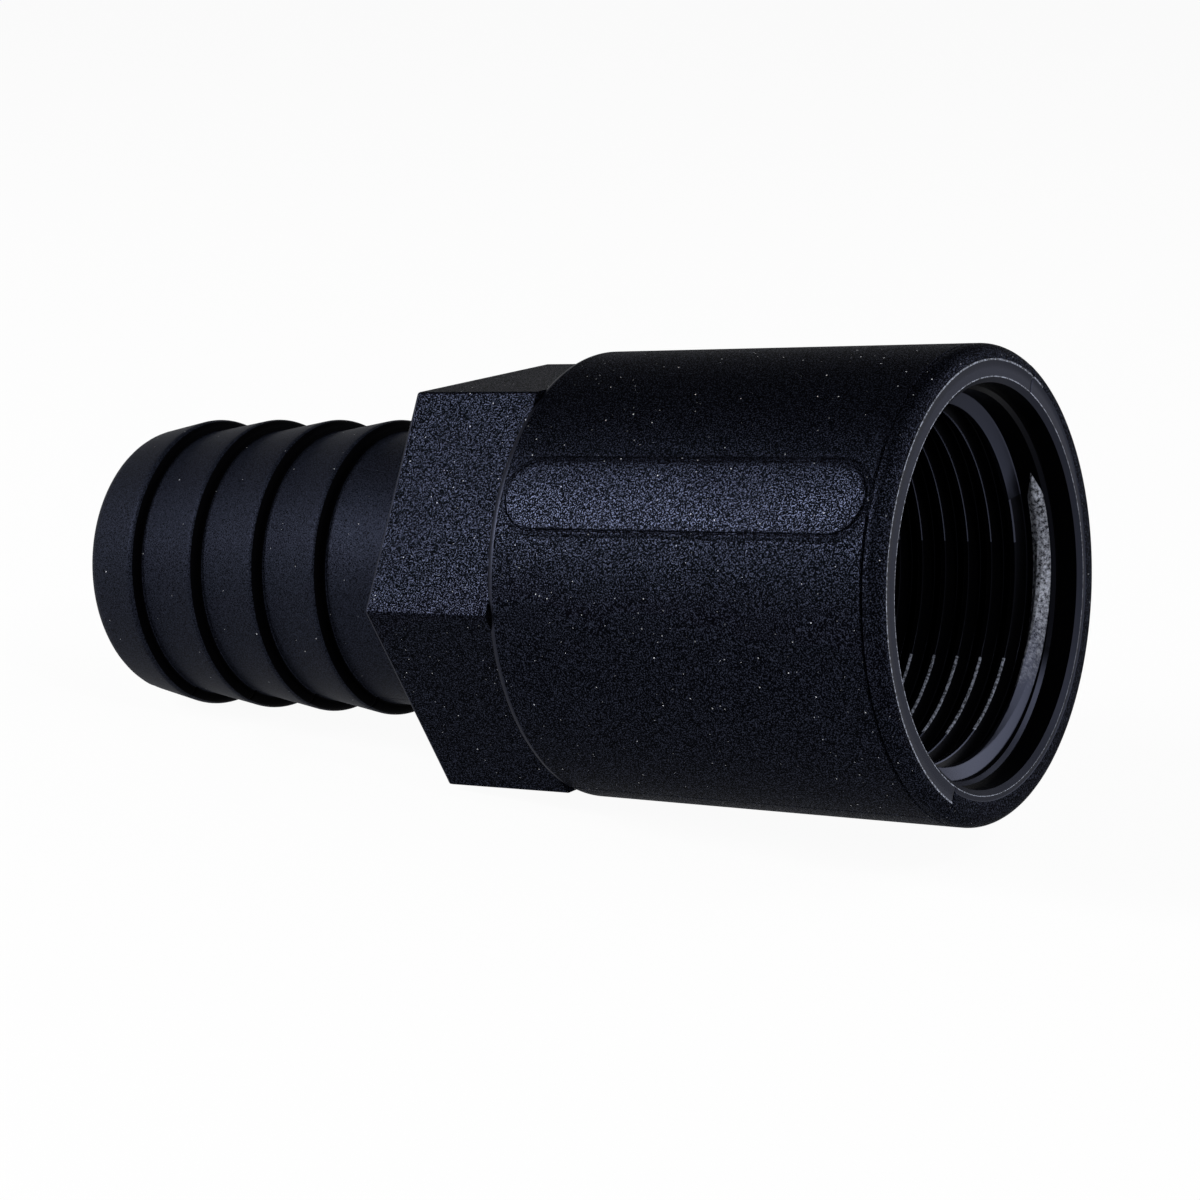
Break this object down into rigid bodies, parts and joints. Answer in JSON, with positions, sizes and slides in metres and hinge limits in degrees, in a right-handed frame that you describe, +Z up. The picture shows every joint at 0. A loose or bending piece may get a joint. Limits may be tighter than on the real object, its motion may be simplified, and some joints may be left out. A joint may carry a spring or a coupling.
{
  "type": "hose barb adapter",
  "caption": "Moulded black plastic adapter from a pipe thread to a hose: female threaded socket, spanner hexagon and barbed tail.",
  "frame": {"origin": "on the floor, under the middle of the part's box, with the part lying as it rests: on the rear edge of the socket and the crest of the first barb", "axes": "+X runs along the part's axis, seen from above, towards the mouth of the socket; +Z is up; the axis itself rises towards the mouth by 7.6 degrees"},
  "size_m": [0.0936, 0.0414, 0.0451],
  "materials": {
    "black_nylon": "satin, with a fine spark-eroded grain"
  },
  "bodies": {
    "root": {"adapter_body": "black_nylon"}
  },
  "joints": []
}
